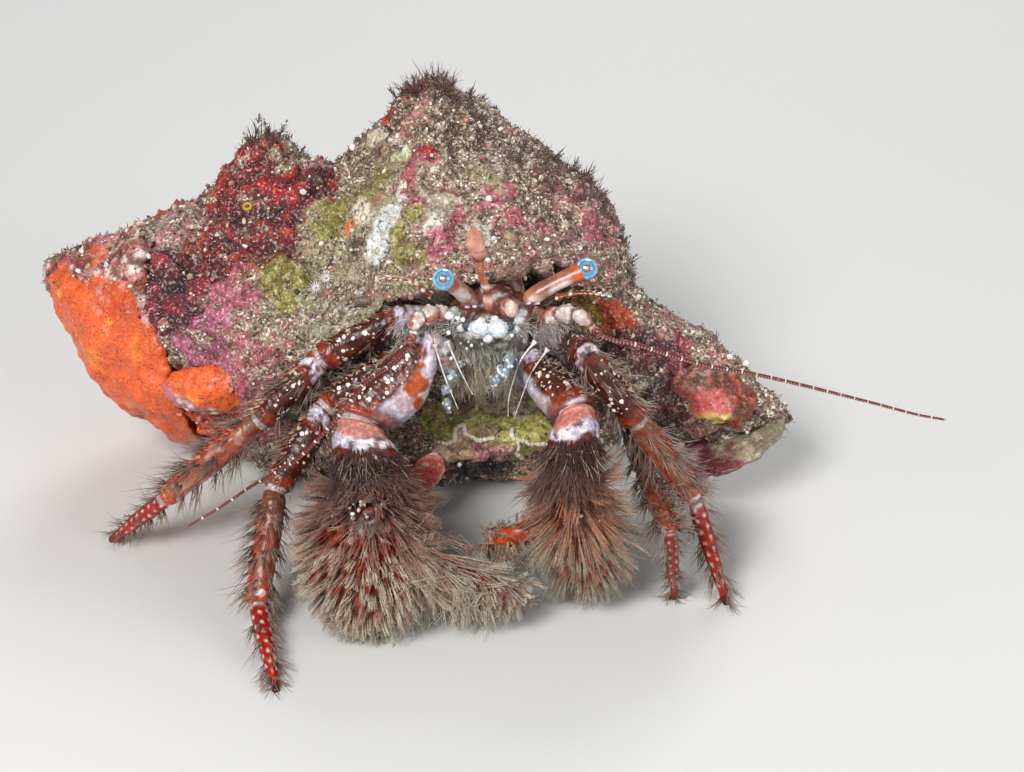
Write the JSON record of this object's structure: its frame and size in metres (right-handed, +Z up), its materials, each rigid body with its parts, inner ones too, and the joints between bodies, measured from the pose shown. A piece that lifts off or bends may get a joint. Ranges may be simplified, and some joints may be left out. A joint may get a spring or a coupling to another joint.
{
  "type": "hermit crab model",
  "caption": "Still life-size model of a hairy hermit crab standing in an overgrown sea-snail shell, with blue eyes, furry claws and spotted walking legs.",
  "frame": {"origin": "on the floor under the middle of the whole, shell and legs together", "axes": "+X along the shell towards the end of its lip, which is the crab's left; -Y the way the crab faces; +Z up from the floor it stands on"},
  "size_m": [0.093, 0.0638, 0.0418],
  "materials": {
    "shell_crust": "matte",
    "orange_sponge": "matte",
    "red_growth": "satin",
    "pale_plate": "matte",
    "pink_flake": "matte",
    "carapace": "satin",
    "pale_mouth": "satin",
    "soft_abdomen": "satin",
    "eye": "gloss",
    "eyestalk": "satin",
    "feelers": "satin",
    "claw_coat": "matte",
    "toe_red": "satin",
    "leg_tan": "satin",
    "small_legs": "satin",
    "leg_chestnut": "satin"
  },
  "bodies": {
    "root": {"abdomen": "soft_abdomen", "antenna_left_feeler": "feelers", "antenna_left_peduncle": "feelers", "antenna_left_scale": "feelers", "antenna_right_feeler": "feelers", "antenna_right_peduncle": "feelers", "antenna_right_scale": "feelers", "antennule_left": "feelers", "antennule_right": "feelers", "claw_left_carpus": "leg_chestnut", "claw_left_finger": "claw_coat", "claw_left_ischium": "leg_chestnut", "claw_left_merus": "leg_chestnut", "claw_left_palm": "claw_coat", "claw_right_carpus": "leg_chestnut", "claw_right_finger": "claw_coat", "claw_right_ischium": "leg_chestnut", "claw_right_merus": "leg_chestnut", "claw_right_palm": "claw_coat", "cornea_left": "eye", "cornea_right": "eye", "eyestalk_left": "eyestalk", "eyestalk_right": "eyestalk", "leg_left_2_carpus": "leg_chestnut", "leg_left_2_dactyl": "toe_red", "leg_left_2_ischium": "leg_chestnut", "leg_left_2_merus": "leg_chestnut", "leg_left_2_propodus": "leg_tan", "leg_left_3_carpus": "leg_chestnut", "leg_left_3_dactyl": "toe_red", "leg_left_3_ischium": "leg_chestnut", "leg_left_3_merus": "leg_chestnut", "leg_left_3_propodus": "leg_tan", "leg_left_4": "small_legs", "leg_left_5": "small_legs", "leg_right_2_carpus": "leg_chestnut", "leg_right_2_dactyl": "toe_red", "leg_right_2_ischium": "leg_chestnut", "leg_right_2_merus": "leg_chestnut", "leg_right_2_propodus": "leg_tan", "leg_right_3_carpus": "leg_chestnut", "leg_right_3_dactyl": "toe_red", "leg_right_3_ischium": "leg_chestnut", "leg_right_3_merus": "leg_chestnut", "leg_right_3_propodus": "leg_tan", "leg_right_4": "small_legs", "leg_right_5": "small_legs", "lip_flake": "pink_flake", "lip_growth": "red_growth", "lip_plate": "pale_plate", "maxilliped_left": "pale_mouth", "maxilliped_right": "pale_mouth", "mouthparts": "pale_mouth", "rear_carapace": "carapace", "shell": "shell_crust", "shield": "carapace", "sponge_cap": "orange_sponge", "sponge_lobe": "orange_sponge", "tail_fan": "soft_abdomen", "thorax": "pale_mouth"}
  },
  "joints": []
}
